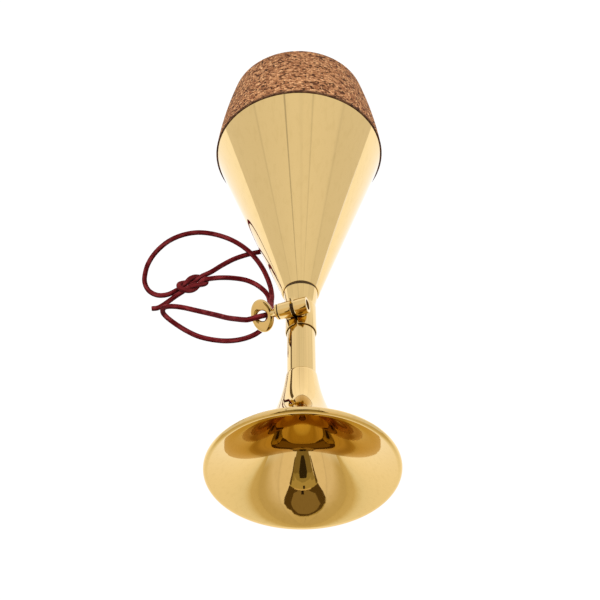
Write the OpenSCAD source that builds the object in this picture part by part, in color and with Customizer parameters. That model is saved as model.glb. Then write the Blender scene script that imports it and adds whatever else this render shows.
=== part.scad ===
// Stopping mute for a french horn, lying on its bell's bead and on its cork.
// +X is to the right of the bell, +Y runs from the bell to the cork, +Z is up.

/* [Whole mute] */
// Diameter of the bell's bead and of the cork's front ring, which the mute lies on
rest_d = 70.3; // [66:0.1:76]
// Length of the bell, from the bead's middle to the end of its collar
bell_len = 43.4; // [38:0.2:50]
// Length of tube that shows between the bell's collar and the clamp sleeve
tube_shown = 21.6; // [20:0.2:28]
// Length of the clamp sleeve that shows in front of the cone
sleeve_len = 20.8; // [20:0.2:26]
// Length of the cone, from its mouth to its widest ring
cone_len = 80.2; // [70:0.2:90]
// Length of the cork
cork_len = 35.7; // [30:0.1:40]

/* [Bell] */
// Radius of the rolled bead round the bell's rim
bead_r = 1.2; // [0.9:0.05:1.5]
// Diameter of the wire inside the bead
wire_d = 1.6; // [1.2:0.1:1.6]
// Length over which the bell's flare falls away
flare_fall = 16.5; // [14:0.5:20]
// Thickness of the bell's sheet
bell_wall = 0.45; // [0.3:0.05:0.6]
// Outer diameter of the bell's collar, where it grips the tube
collar_d = 11.9; // [11.5:0.1:13]

/* [Tuning tube and clamp sleeve] */
// Outer diameter of the tuning tube
tube_d = 10.8; // [9.6:0.1:11]
// Wall of the tuning tube
tube_wall = 0.5; // [0.4:0.05:0.8]
// Running clearance between the tube and the sleeve, on the radius
tube_play = 0.05; // [0.03:0.01:0.08]
// Wall of the clamp sleeve
sleeve_wall = 0.5; // [0.4:0.05:0.8]
// Width of the slot along the sleeve
slot_w = 1.2; // [0.8:0.1:1.6]
// Length of the slot, up to its round end
slot_len = 11.2; // [8:0.2:11.6]

/* [Clamp and thumb screw] */
// Angle by which the clamp leans from straight up towards the left
clamp_lean = 19.5; // [0:0.5:40]
// Length of the clamp barrel, over both halves
barrel_len = 11.5; // [10:0.5:14]
// Diameter of the clamp barrel
barrel_d = 6.3; // [5.8:0.1:7]
// Diameter of the thumb screw's shank
shank_d = 3.9; // [3.4:0.1:4]
// Width of the thumb screw's oval head, across the screw
head_w = 12.8; // [11:0.2:15]
// Length of the oval head, along the screw
head_len = 8.7; // [8:0.1:10]
// Thickness of the oval head
head_t = 2; // [1.8:0.1:2.6]
// Diameter of the eye in the head
eye_d = 4; // [3.8:0.1:4.4]

/* [Body and cork] */
// Outer diameter of the cone at its mouth
mouth_d = 14.6; // [13.8:0.1:15.4]
// Outer diameter of the cone at its widest ring
cone_d = 69.3; // [66:0.1:69.6]
// Wall of the cone and of the rear shell
shell_wall = 0.5; // [0.4:0.05:0.8]
// Outer diameter of the cork at its far end
cork_end_d = 56.7; // [52:0.1:62]
// Thickness of the cork
cork_t = 2.2; // [1.8:0.1:2.6]
// How far the cork's side swells out of a straight taper
cork_swell = 0.7; // [0:0.1:1]
// Bore of the port in the end plate
port_d = 9; // [7:0.5:12]
// Length of the port tube inside the rear shell
port_len = 12; // [6:1:20]

/* [Cord] */
// Diameter of the cord
cord_d = 2.1; // [1.9:0.1:2.2]

/* [Hidden] */
$fn = 96;
little = 0.01;

brass = [0.80, 0.64, 0.32];
pale_brass = [0.88, 0.74, 0.45];
cork_brown = [0.66, 0.47, 0.32];
cord_red = [0.45, 0.09, 0.12];

// Stations along the axis, measured from the middle of the bead
sleeve_at = bell_len + tube_shown;
mouth_at = sleeve_at + sleeve_len;
shoulder_at = mouth_at + cone_len;
end_at = shoulder_at + cork_len;
mid_at = (end_at - bead_r) / 2;
axis_z = rest_d / 2;

// The bell
rim_r = rest_d / 2 - bead_r;
collar_r = collar_d / 2;
tube_r = tube_d / 2;
tube_bore_r = tube_r - tube_wall;
collar_grip = 3.4;
tube_from = bell_len - collar_grip;
tube_to = 120;
flare_steps = 28;
roll_gap = 0.3;
roll_gap_angle = 100;

// The clamp
sleeve_bore_r = tube_r + tube_play;
sleeve_r = sleeve_bore_r + sleeve_wall;
sleeve_straight = 12.4;
waist_wall = 0.25;
waist_len = 1.4;
plug_len = 6;
plug_funnel = 3;
clamp_at = sleeve_at + 5.6;
barrel_out = 8.5;
barrel_r = barrel_d / 2;
bore_play = 0.05;
screw_bore_r = shank_d / 2 + bore_play;
saddle_w = 7.2;
saddle_len = 4.4;

// The thumb screw, measured from the barrel's middle towards the head
flange_gap = 0.3;
flange_t = 0.9;
flange_r = 3;
shank_back = 0.8;
neck_r = 1.3;
head_out = barrel_len / 2 + 6.8;
head_bevel = 0.5;
eye_bevel = 0.5;

// The body
mouth_r = mouth_d / 2;
cone_r = cone_d / 2;
cone_inset = 1.06 * shell_wall;
rim_round = 0.6;
lap_r = cone_r - 0.55;
lap_len = 1.8;
lap_from = 2;
rim_end = 1;
rabbet_gap = 0.2;
seat_r = axis_z - cork_t;
cork_end_r = cork_end_d / 2;
cork_round = 1;
seat_end_r = cork_end_r - cork_t;
plate_inset = 1.2;
seat_end_at = end_at - plate_inset;
port_r = port_d / 2;
port_wall = 0.5;
port_lip = 1.6;
port_lip_t = 0.6;

// The cord, as points of its middle line: X, Y, and height over the table
cord_r = cord_d / 2;
cord_sides = 8;
back_route = [
    [-14.7, -29.7, 39.0], [-12.8, -27.9, 37.7], [-11.7, -25, 35], [-11.6, -20.5, 30.5],
    [-11.6, -14.5, 24.5], [-11.7, -8, 18.5], [-11.8, -1, 13], [-11.8, 5.5, 9],
    [-11.7, 12, 6], [-12.4, 19, 4], [-13.9, 25.5, 3], [-15.9, 31, 3], [-18.8, 36.2, 3.4],
    [-22.3, 41.3, 3.2], [-26.8, 46.9, 2], [-31.8, 51, 1.2], [-38, 53.6, 1.1],
    [-44.5, 54.4, 1.1], [-51, 52.8, 1.1], [-56.8, 49, 1.1], [-61.5, 43, 1.1],
    [-64.4, 36.6, 1.1], [-65.6, 30.5, 1.1], [-65.5, 24.4, 1.1], [-63.2, 19.3, 1.1],
    [-59.5, 17, 1.1], [-55.5, 17.4, 1.1], [-50.1, 21.1, 1.1]
];
front_route = [
    [-14.7, -29.7, 39.0], [-16.3, -30.8, 39.6], [-18.4, -31.4, 39.4], [-20.3, -31.1, 38.4],
    [-22, -29.4, 36.5], [-25.2, -25.4, 32.6], [-28.6, -20.6, 28], [-33, -14.2, 22.5],
    [-37.6, -8.7, 18], [-42.4, -4.5, 15], [-46.6, -2.1, 13.8], [-49.5, -0.9, 13.2],
    [-51.8, 0.1, 12.4], [-53.8, 1.2, 11.2], [-55.3, 2.4, 9.5], [-56.2, 3.3, 7.5],
    [-56.6, 3.9, 5.6], [-56.4, 4, 4], [-55.5, 3.6, 2.7], [-53.6, 2.3, 1.7], [-50.7, 0, 1.2],
    [-46.2, -3.5, 1.1], [-41.5, -6.3, 1.1], [-35.8, -8.1, 1.1], [-29.7, -8.8, 1.1],
    [-23.6, -7.8, 1.1], [-18.1, -4.9, 1.1], [-14.5, -0.5, 1.1], [-12.9, 5, 1.1],
    [-12.5, 11, 1.1], [-13.6, 17, 1.1], [-17.4, 22, 1.1], [-22.5, 25.4, 1.1],
    [-28.5, 26.8, 1.1], [-34.3, 26.2, 1.9], [-40.2, 23.9, 3.3]
];
tail_left_route = [
    [-49.1, 19.1, 1.1], [-51.8, 16.7, 1.1], [-54.9, 13.5, 1.1], [-57.5, 11, 1.1],
    [-59.4, 9.7, 1.1], [-61.6, 9.4, 1.1]
];
tail_right_route = [
    [-41.3, 25.9, 3.3], [-37.7, 29.4, 2.1], [-33.3, 34.2, 1.1], [-28, 38.1, 1.1],
    [-22.2, 40.8, 1.1], [-16.2, 42.6, 1.1]
];

// The knot: two bights laid over each other, one per rope
knot_mid = [-45.2, 22.5];
knot_turn = 28.5;
knot_bend_r = 2;
knot_bend_out = 2.9;
knot_leg_out = 5;
knot_leg_apart = 1.15;
knot_low = 1.1;
knot_high = 3.3;

// Outer radius of the bell's flare, u from the bead: it falls away to the collar
function flare_r(u) =
    collar_r + (rim_r - collar_r)
    * (exp(-u / flare_fall) - exp(-bell_len / flare_fall)) / (1 - exp(-bell_len / flare_fall));

// Inner radius of the same sheet, thicker on the slant where the flare is steep
function flare_slope(u) = (flare_r(u + little) - flare_r(u)) / little;
function flare_inner_r(u) = flare_r(u) - bell_wall * sqrt(1 + pow(flare_slope(u), 2));

// Outer radius of the cone at a station
function cone_r_at(u) = mouth_r + (cone_r - mouth_r) * (u - mouth_at) / cone_len;

// Outer radius of the cork at a fraction of its length
function cork_r_at(f) = axis_z + (cork_end_r - axis_z) * f + 4 * cork_swell * f * (1 - f);

// Puts a shape that is drawn round +Z, from the bead, on the mute's own axis
module along_axis() {
    translate([0, -mid_at, axis_z]) rotate([-90, 0, 0]) children();
}

// Puts a shape that is drawn round +Z on the screw's axis, with +Z towards the head,
// +X straight out of the mute, +Y along the mute to the cork, and the origin at the barrel's middle
module on_screw() {
    translate([0, clamp_at - mid_at, axis_z])
        rotate([0, -clamp_lean, 0])
            translate([0, 0, barrel_out])
                rotate([0, -90, 0])
                    children();
}

// A tube swept along a route, as one closed shape
function unit(v) = v / norm(v);
function heading(p, i) = unit(p[min(i + 1, len(p) - 1)] - p[max(i - 1, 0)]);
function sideways(p, i) = unit(cross(heading(p, i), [0, 0, 1]));
function ring(p, i) = [
    for (k = [0 : cord_sides - 1])
        let (a = (k + 0.5) * 360 / cord_sides, s = sideways(p, i), h = cross(s, heading(p, i)))
            p[i] + cord_r * (cos(a) * s + sin(a) * h)
];
function quad(a, b, c, d) = [[a, b, c], [a, c, d]];
function skin(i) = [
    for (k = [0 : cord_sides - 1])
        let (n = (k + 1) % cord_sides, a = i * cord_sides)
            each quad(a + k, a + cord_sides + k, a + cord_sides + n, a + n)
];
module cord(route) {
    last = (len(route) - 1) * cord_sides;
    polyhedron(
        points = [for (i = [0 : len(route) - 1]) each ring(route, i)],
        faces = concat(
            [[for (k = [0 : cord_sides - 1]) k]],
            [for (i = [0 : len(route) - 2]) each skin(i)],
            [[for (k = [cord_sides - 1 : -1 : 0]) last + k]]
        ),
        convexity = 6
    );
}

// The cone, spun from one sheet, with a short straight lap inside its widest ring
module front_cone() {
    color(pale_brass) along_axis() rotate_extrude() polygon([
        [mouth_r, mouth_at],
        [cone_r - 0.1, shoulder_at - 0.4],
        [cone_r, shoulder_at],
        [cone_r - 0.05, shoulder_at + rim_end - rim_round],
        [lap_r + 0.2, shoulder_at + rim_end],
        [lap_r, shoulder_at + rim_end],
        [lap_r, shoulder_at + rim_end - lap_len],
        [cone_r_at(shoulder_at - lap_from) - cone_inset, shoulder_at - lap_from],
        [mouth_r - cone_inset, mouth_at]
    ]);
}

// The rear shell: the tapered seat under the cork and the end plate, in one piece
module rear_shell() {
    color(brass) along_axis() rotate_extrude() polygon([
        [lap_r, shoulder_at + rim_end - lap_len],
        [lap_r, shoulder_at + rim_end],
        [seat_r, shoulder_at + rim_end + rabbet_gap],
        [seat_end_r, seat_end_at - 1],
        [seat_end_r - 0.4, seat_end_at - 0.25],
        [seat_end_r - 1.2, seat_end_at],
        [port_r + port_wall, seat_end_at],
        [port_r + port_wall, seat_end_at - shell_wall],
        [seat_end_r - 1.3, seat_end_at - shell_wall],
        [seat_end_r - shell_wall, seat_end_at - 1.3],
        [seat_r - shell_wall, shoulder_at + rim_end],
        [lap_r - shell_wall, shoulder_at + rim_end - lap_len]
    ]);
}

// The port: a short tube through the end plate, with a lip that sits on the plate
module end_port() {
    color(pale_brass) along_axis() difference() {
        union() {
            translate([0, 0, seat_end_at - port_len])
                cylinder(r = port_r + port_wall, h = port_len + port_lip_t);
            translate([0, 0, seat_end_at])
                cylinder(r = port_r + port_lip, h = port_lip_t);
        }
        translate([0, 0, seat_end_at - port_len - 1])
            cylinder(r = port_r, h = port_len + port_lip_t + 2);
    }
}

// The cork, wrapped round the seat and notched over the cone's widest ring
module cork_sleeve() {
    steps = 10;
    color(cork_brown) along_axis() rotate_extrude() polygon(concat(
        [[cone_r, shoulder_at]],
        [for (i = [0 : steps - 1]) [cork_r_at(i / steps), shoulder_at + cork_len * i / steps]],
        [
            [cork_r_at(1 - cork_round / cork_len), end_at - cork_round],
            [cork_end_r - 0.3 * cork_round, end_at - 0.3 * cork_round],
            [cork_end_r - cork_round, end_at],
            [seat_end_r, end_at],
            [seat_end_r, seat_end_at - 1],
            [seat_r, shoulder_at + rim_end + rabbet_gap],
            [cone_r, shoulder_at + rim_end + rabbet_gap]
        ]
    ));
}

// The clamp sleeve: a slotted ring, then a waist that opens out to plug into the cone
module clamp_sleeve() {
    plug_r = mouth_r - cone_inset;
    waist_r = sleeve_bore_r + waist_wall;
    waist_at = sleeve_at + sleeve_straight + sleeve_wall / 2;
    plug_rise = (cone_r - mouth_r) / cone_len * plug_len;
    color(pale_brass) difference() {
        along_axis() rotate_extrude() polygon([
            [sleeve_r, sleeve_at],
            [sleeve_r, sleeve_at + sleeve_straight],
            [waist_r, waist_at],
            [waist_r, waist_at + waist_len],
            [plug_r, mouth_at],
            [plug_r + plug_rise, mouth_at + plug_len],
            [plug_r + plug_rise - sleeve_wall, mouth_at + plug_len],
            [plug_r - sleeve_wall, mouth_at],
            [sleeve_bore_r, mouth_at - plug_funnel],
            [sleeve_bore_r, sleeve_at]
        ]);
        translate([0, sleeve_at - mid_at, axis_z]) rotate([0, -clamp_lean, 0]) {
            translate([-slot_w / 2, -1, 0]) cube([slot_w, slot_len + 1, 2 * mouth_r]);
            translate([0, slot_len, 0]) cylinder(d = slot_w, h = 2 * mouth_r);
        }
    }
}

// One half of the clamp barrel, with the foot that is brazed to the sleeve.
// side is 1 for the half by the screw's head and -1 for the far half
module clamp_lug(side) {
    half = (barrel_len - slot_w) / 2;
    from = side > 0 ? slot_w / 2 : -barrel_len / 2;
    foot = (saddle_w - slot_w) / 2;
    foot_from = side > 0 ? slot_w / 2 : -saddle_w / 2;
    difference() {
        union() {
            on_screw() translate([0, 0, from]) cylinder(d = barrel_d, h = half);
            on_screw() translate([-barrel_out, -saddle_len / 2, foot_from])
                cube([barrel_out, saddle_len, foot]);
        }
        along_axis() cylinder(r = sleeve_r, h = end_at);
        on_screw() translate([0, 0, -barrel_len])
            cylinder(r = screw_bore_r, h = 2 * barrel_len);
    }
}
module clamp_lug_left() {
    color(pale_brass) clamp_lug(1);
}
module clamp_lug_right() {
    color(pale_brass) clamp_lug(-1);
}

// The thumb screw: shank, flange, neck and an oval head with an eye for the cord
module head_outline(shrink) {
    steps = 40;
    polygon([
        for (i = [0 : steps - 1])
            let (a = 360 * i / steps)
                [(head_w / 2 - shrink) * cos(a), (head_len / 2 - shrink) * sin(a)]
    ]);
}
module thumb_screw() {
    flange_from = barrel_len / 2 + flange_gap;
    neck_from = flange_from + flange_t;
    neck_len = head_out - head_len / 2 - neck_from + 1;
    color(pale_brass) on_screw() difference() {
        union() {
            translate([0, 0, shank_back - barrel_len / 2])
                cylinder(d = shank_d, h = barrel_len - shank_back + flange_gap);
            translate([0, 0, flange_from]) cylinder(r = flange_r, h = flange_t);
            translate([0, 0, neck_from]) cylinder(r1 = 1.7 * neck_r, r2 = neck_r, h = neck_len);
            head_frame() hull() {
                linear_extrude(head_t - 2 * head_bevel, center = true) head_outline(0);
                linear_extrude(head_t, center = true) head_outline(head_bevel);
            }
        }
        head_frame() {
            cylinder(d = eye_d, h = 2 * head_t, center = true);
            for (face = [0, 180])
                rotate([face, 0, 0]) translate([0, 0, head_t / 2 - eye_bevel])
                    cylinder(d1 = eye_d, d2 = eye_d + 4 * eye_bevel, h = 2 * eye_bevel);
        }
    }
}
// The head's plate faces halfway between straight out of the mute and its bell
module head_frame() {
    translate([0, 0, head_out]) rotate([0, 0, 45]) rotate([90, 0, 0]) children();
}

// The tuning tube, soldered into the bell's collar, which slides in the clamp sleeve
module tuning_tube() {
    color(pale_brass) along_axis() translate([0, 0, tube_from]) difference() {
        cylinder(r = tube_r, h = tube_to - tube_from);
        translate([0, 0, -1]) cylinder(r = tube_bore_r, h = tube_to - tube_from + 2);
    }
}

// The bell: a flare in thin sheet, rolled over the wire at its rim
module bell_flare() {
    sheet_end = bell_len - collar_grip - 2;
    color(brass) along_axis() rotate_extrude() difference() {
        union() {
            polygon(concat(
                [for (i = [0 : flare_steps]) let (u = bell_len * i / flare_steps) [flare_r(u), u]],
                [[tube_r, bell_len], [tube_r, tube_from]],
                [
                    for (i = [flare_steps : -1 : 0])
                        let (u = sheet_end * i / flare_steps)
                            [flare_inner_r(u), u]
                ],
                [[rim_r - 0.4, -0.5 * bead_r], [rim_r, -0.5 * bead_r]]
            ));
            translate([rim_r, 0]) circle(r = bead_r);
        }
        translate([rim_r, 0]) circle(d = wire_d);
        translate([rim_r, 0]) rotate(roll_gap_angle) translate([0, -roll_gap / 2])
            square([2 * bead_r, roll_gap]);
    }
}

// The wire that the bell's rim is rolled over
module rim_wire() {
    color(brass) along_axis() rotate_extrude() translate([rim_r, 0]) circle(d = wire_d);
}

// The cord: one length through the eye, from its back and from its front
module cord_back() {
    color(cord_red) cord(back_route);
}
module cord_front() {
    color(cord_red) cord(front_route);
}
module cord_tail_left() {
    color(cord_red) cord(tail_left_route);
}
module cord_tail_right() {
    color(cord_red) cord(tail_right_route);
}

// One rope's bight in the knot: a half ring and two legs that draw together
module bight() {
    run = knot_bend_out + knot_leg_out;
    drawn_in = knot_bend_r - knot_leg_apart;
    translate([knot_bend_out, 0, 0]) {
        rotate([0, 0, -90]) rotate_extrude(angle = 180)
            translate([knot_bend_r, 0]) circle(r = cord_r);
        for (side = [1, -1]) translate([0, side * knot_bend_r, 0]) {
            sphere(r = cord_r);
            rotate([0, 0, side * atan(drawn_in / run)]) rotate([0, -90, 0])
                cylinder(r = cord_r, h = norm([run, drawn_in]));
        }
    }
}
module cord_knot() {
    color(cord_red) {
        translate([knot_mid.x, knot_mid.y, knot_low]) rotate([0, 0, knot_turn]) bight();
        translate([knot_mid.x, knot_mid.y, knot_high]) rotate([0, 0, knot_turn + 180]) bight();
    }
}

front_cone();
rear_shell();
end_port();
cork_sleeve();
clamp_sleeve();
clamp_lug_left();
clamp_lug_right();
thumb_screw();
tuning_tube();
bell_flare();
rim_wire();
cord_back();
cord_front();
cord_knot();
cord_tail_left();
cord_tail_right();
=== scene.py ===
"""The looks of a stopping mute for a french horn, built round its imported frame.

Everything is in metres, in the row frame: +Y runs along the mute from its bell to its cork.
"""
import math

import bmesh
import bpy
import numpy as np
from mathutils import Matrix, Vector


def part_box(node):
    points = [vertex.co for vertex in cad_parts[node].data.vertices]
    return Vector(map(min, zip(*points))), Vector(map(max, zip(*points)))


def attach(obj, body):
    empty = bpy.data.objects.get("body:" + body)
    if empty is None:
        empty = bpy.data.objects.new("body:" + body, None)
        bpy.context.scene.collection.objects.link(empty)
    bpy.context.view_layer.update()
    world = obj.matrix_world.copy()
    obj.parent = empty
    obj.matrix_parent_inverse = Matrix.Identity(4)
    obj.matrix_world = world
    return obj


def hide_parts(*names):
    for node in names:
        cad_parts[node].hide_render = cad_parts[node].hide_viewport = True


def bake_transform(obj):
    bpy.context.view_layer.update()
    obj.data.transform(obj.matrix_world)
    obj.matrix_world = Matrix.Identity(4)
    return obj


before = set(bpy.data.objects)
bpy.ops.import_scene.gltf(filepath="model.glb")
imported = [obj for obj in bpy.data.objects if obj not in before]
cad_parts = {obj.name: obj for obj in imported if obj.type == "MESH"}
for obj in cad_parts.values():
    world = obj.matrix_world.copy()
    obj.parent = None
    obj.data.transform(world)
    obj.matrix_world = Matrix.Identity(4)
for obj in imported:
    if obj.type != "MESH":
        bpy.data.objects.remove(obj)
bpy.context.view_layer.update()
MM = 0.001

# The mute's own line, and the stations along it, from the frame
BELL_LO, BELL_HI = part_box("bell_flare")
AXIS_Z = (BELL_LO.z + BELL_HI.z) / 2
BEAD_R = 1.2 * MM
REST_R = (BELL_HI.x - BELL_LO.x) / 2
RIM_R = REST_R - BEAD_R
RIM_AT = BELL_LO.y + BEAD_R
COLLAR_END = BELL_HI.y
TUBE_FROM, TUBE_TO = (corner.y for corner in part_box("tuning_tube"))
TUBE_R = (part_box("tuning_tube")[1].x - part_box("tuning_tube")[0].x) / 2
SLEEVE_FROM, PLUG_TO = (corner.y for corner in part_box("clamp_sleeve"))
MOUTH_AT, CONE_END = (corner.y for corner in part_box("front_cone"))
CORK_FROM, CORK_TO = (corner.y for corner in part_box("cork_sleeve"))
CONE_R = (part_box("front_cone")[1].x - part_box("front_cone")[0].x) / 2

# Radii and walls that the frame's boxes don't give
SHEET = 0.5 * MM
FLARE_FALL = 16.5 * MM
BELL_SHEET = 0.45 * MM
COLLAR_R = 5.95 * MM
TUBE_BORE_R = TUBE_R - SHEET
SLEEVE_BORE_R = TUBE_R + 0.05 * MM
SLEEVE_R = SLEEVE_BORE_R + SHEET
SLEEVE_STRAIGHT = 12.4 * MM
WAIST_R = SLEEVE_BORE_R + 0.25 * MM
MOUTH_R = 7.3 * MM
PLUG_LEN = 6 * MM
CORK_END_R = 28.35 * MM
CORK_THICK = 2.2 * MM
CORK_SWELL = 0.7 * MM
SEAT_R = REST_R - CORK_THICK
PORT_R = 4.5 * MM
PORT_LEN = 12 * MM
PORT_LIP = 1.6 * MM
PLATE_INSET = 1.2 * MM
LAP_LEN = 1.8 * MM

# The clamp and its thumb screw
LEAN = math.radians(19.5)
CLAMP_Y = SLEEVE_FROM + 5.6 * MM
BARREL_OUT = 8.5 * MM
BARREL_LEN = 11.5 * MM
BARREL_R = 3.15 * MM
SLOT_W = 1.2 * MM
SLOT_LEN = 11.2 * MM
LUG_BORE_R = 2 * MM
SHANK_R = 1.95 * MM
SHANK_BACK = 0.8 * MM
FLANGE_GAP = 0.3 * MM
FLANGE_T = 0.9 * MM
FLANGE_R = 3 * MM
NECK_R = 1.3 * MM
HEAD_OUT = BARREL_LEN / 2 + 6.8 * MM
HEAD_W = 12.8 * MM
HEAD_LEN = 8.7 * MM
HEAD_T = 2 * MM
EYE_R = 2 * MM
SCREW_UP = Vector((-math.sin(LEAN), 0, math.cos(LEAN)))
SCREW_AXIS = Vector((-math.cos(LEAN), 0, -math.sin(LEAN)))
BARREL_MID = Vector((0, CLAMP_Y, AXIS_Z)) + BARREL_OUT * SCREW_UP
EYE = BARREL_MID + HEAD_OUT * SCREW_AXIS

# The cord, in millimetres over the table, as the source has it
CORD_D = 2.1 * MM
BACK_ROUTE = [
    (-14.7, -29.7, 39.0), (-12.8, -27.9, 37.7), (-11.7, -25, 35), (-11.6, -20.5, 30.5),
    (-11.6, -14.5, 24.5), (-11.7, -8, 18.5), (-11.8, -1, 13), (-11.8, 5.5, 9),
    (-11.7, 12, 6), (-12.4, 19, 4), (-13.9, 25.5, 3), (-15.9, 31, 3), (-18.8, 36.2, 3.4),
    (-22.3, 41.3, 3.2), (-26.8, 46.9, 2), (-31.8, 51, 1.2), (-38, 53.6, 1.1),
    (-44.5, 54.4, 1.1), (-51, 52.8, 1.1), (-56.8, 49, 1.1), (-61.5, 43, 1.1),
    (-64.4, 36.6, 1.1), (-65.6, 30.5, 1.1), (-65.5, 24.4, 1.1), (-63.2, 19.3, 1.1),
    (-59.5, 17, 1.1), (-55.5, 17.4, 1.1), (-50.1, 21.1, 1.1),
]
FRONT_ROUTE = [
    (-14.7, -29.7, 39.0), (-16.3, -30.8, 39.6), (-18.4, -31.4, 39.4), (-20.3, -31.1, 38.4),
    (-22, -29.4, 36.5), (-25.2, -25.4, 32.6), (-28.6, -20.6, 28), (-33, -14.2, 22.5),
    (-37.6, -8.7, 18), (-42.4, -4.5, 15), (-46.6, -2.1, 13.8), (-49.5, -0.9, 13.2),
    (-51.8, 0.1, 12.4), (-53.8, 1.2, 11.2), (-55.3, 2.4, 9.5), (-56.2, 3.3, 7.5),
    (-56.6, 3.9, 5.6), (-56.4, 4, 4), (-55.5, 3.6, 2.7), (-53.6, 2.3, 1.7), (-50.7, 0, 1.2),
    (-46.2, -3.5, 1.1), (-41.5, -6.3, 1.1), (-35.8, -8.1, 1.1), (-29.7, -8.8, 1.1),
    (-23.6, -7.8, 1.1), (-18.1, -4.9, 1.1), (-14.5, -0.5, 1.1), (-12.9, 5, 1.1),
    (-12.5, 11, 1.1), (-13.6, 17, 1.1), (-17.4, 22, 1.1), (-22.5, 25.4, 1.1),
    (-28.5, 26.8, 1.1), (-34.3, 26.2, 1.9), (-40.2, 23.9, 3.3),
]
TAIL_LEFT_ROUTE = [
    (-49.1, 19.1, 1.1), (-51.8, 16.7, 1.1), (-54.9, 13.5, 1.1), (-57.5, 11, 1.1),
    (-59.4, 9.7, 1.1), (-61.6, 9.4, 1.1),
]
TAIL_RIGHT_ROUTE = [
    (-41.3, 25.9, 3.3), (-37.7, 29.4, 2.1), (-33.3, 34.2, 1.1), (-28, 38.1, 1.1),
    (-22.2, 40.8, 1.1), (-16.2, 42.6, 1.1),
]
KNOT_MID = (-45.2, 22.5)
KNOT_TURN = math.radians(28.5)


# Camera

def make_camera():
    """The photograph's view: a long lens, looking down the mute from above its bell."""
    lens, sensor = 93.2, 36.0
    elevation, yaw, roll = math.radians(46.96), math.radians(0.54), math.radians(0.09)
    from_bell = Vector((0.00096, -0.06014, 0.547))
    data = bpy.data.cameras.new("camera")
    data.lens, data.sensor_width = lens, sensor
    data.clip_start, data.clip_end = 0.01, 20
    turn = (
        Matrix.Rotation(-yaw, 3, "Z")
        @ Matrix.Rotation(math.pi / 2 - elevation, 3, "X")
        @ Matrix.Rotation(roll, 3, "Z")
    )
    right, up, ahead = turn.col[0], turn.col[1], -turn.col[2]
    bell = Vector((0, RIM_AT, AXIS_Z))
    place = bell - (from_bell.x * right + from_bell.y * up + from_bell.z * ahead)
    camera = bpy.data.objects.new("camera", data)
    camera.matrix_world = Matrix.Translation(place) @ turn.to_4x4()
    bpy.context.scene.collection.objects.link(camera)
    bpy.context.scene.camera = camera


# Meshes

def add_mesh(name, vertices, faces, sharp_over=35):
    """A new smooth object with its outside facing out, and edges sharper than an angle kept sharp."""
    mesh = bpy.data.meshes.new(name)
    mesh.from_pydata([tuple(v) for v in vertices], [], [tuple(f) for f in faces])
    mesh.validate()
    work = bmesh.new()
    work.from_mesh(mesh)
    bmesh.ops.recalc_face_normals(work, faces=work.faces)
    work.to_mesh(mesh)
    work.free()
    mesh.shade_smooth()
    mesh.set_sharp_from_angle(angle=math.radians(sharp_over))
    piece = bpy.data.objects.new(name, mesh)
    bpy.context.scene.collection.objects.link(piece)
    return piece


def rounded(corners, steps=6):
    """A line through corners (x, y, round), each cut by a small smooth curve of that length."""
    line = []
    count = len(corners)
    for i, (x, y, cut) in enumerate(corners):
        here = np.array((x, y))
        if cut == 0:
            line.append(here)
            continue
        before = np.array(corners[(i - 1) % count][:2]) - here
        after = np.array(corners[(i + 1) % count][:2]) - here
        start = here + before / np.linalg.norm(before) * cut
        end = here + after / np.linalg.norm(after) * cut
        for t in np.linspace(0, 1, steps):
            line.append((1 - t) ** 2 * start + 2 * t * (1 - t) * here + t * t * end)
    return line


def ring_faces(rings, around, closed=True):
    """Quads between rings of points, and from the last ring back to the first if closed."""
    faces = []
    for i in range(rings if closed else rings - 1):
        for k in range(around):
            a, b = i * around, (i + 1) % rings * around
            n = (k + 1) % around
            faces.append((a + k, b + k, b + n, a + n))
    return faces


def lathe(name, profile, place, around=256, sharp_over=35):
    """A closed outline (radius, height) spun round +Z and put in place by a matrix."""
    points = []
    for r, h in profile:
        for k in range(around):
            a = 2 * math.pi * k / around
            points.append(place @ Vector((r * math.cos(a), r * math.sin(a), h)))
    return add_mesh(name, points, ring_faces(len(profile), around), sharp_over)


# The mute's axis, with the height along it the same as Y in the row frame
ON_AXIS = Matrix.Translation((0, 0, AXIS_Z)) @ Matrix.Rotation(-math.pi / 2, 4, "X")

# The screw's axis: +Z towards the head, +X straight out of the mute, +Y along it to the cork
ON_SCREW = Matrix.Translation(BARREL_MID) @ Matrix(
    (
        (SCREW_UP.x, 0, SCREW_AXIS.x, 0),
        (0, 1, 0, 0),
        (SCREW_UP.z, 0, SCREW_AXIS.z, 0),
        (0, 0, 0, 1),
    )
)


def cut_away(piece, cutter):
    """Takes the cutter's shape out of the piece for good, and drops the cutter."""
    cut = piece.modifiers.new("cut", "BOOLEAN")
    cut.operation, cut.solver, cut.object = "DIFFERENCE", "EXACT", cutter
    bpy.context.view_layer.update()
    shown = piece.evaluated_get(bpy.context.evaluated_depsgraph_get())
    mesh = bpy.data.meshes.new_from_object(shown)
    piece.modifiers.clear()
    piece.data = mesh
    bpy.data.objects.remove(cutter)
    mesh.shade_smooth()
    mesh.set_sharp_from_angle(angle=math.radians(35))


# Node materials

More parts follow.
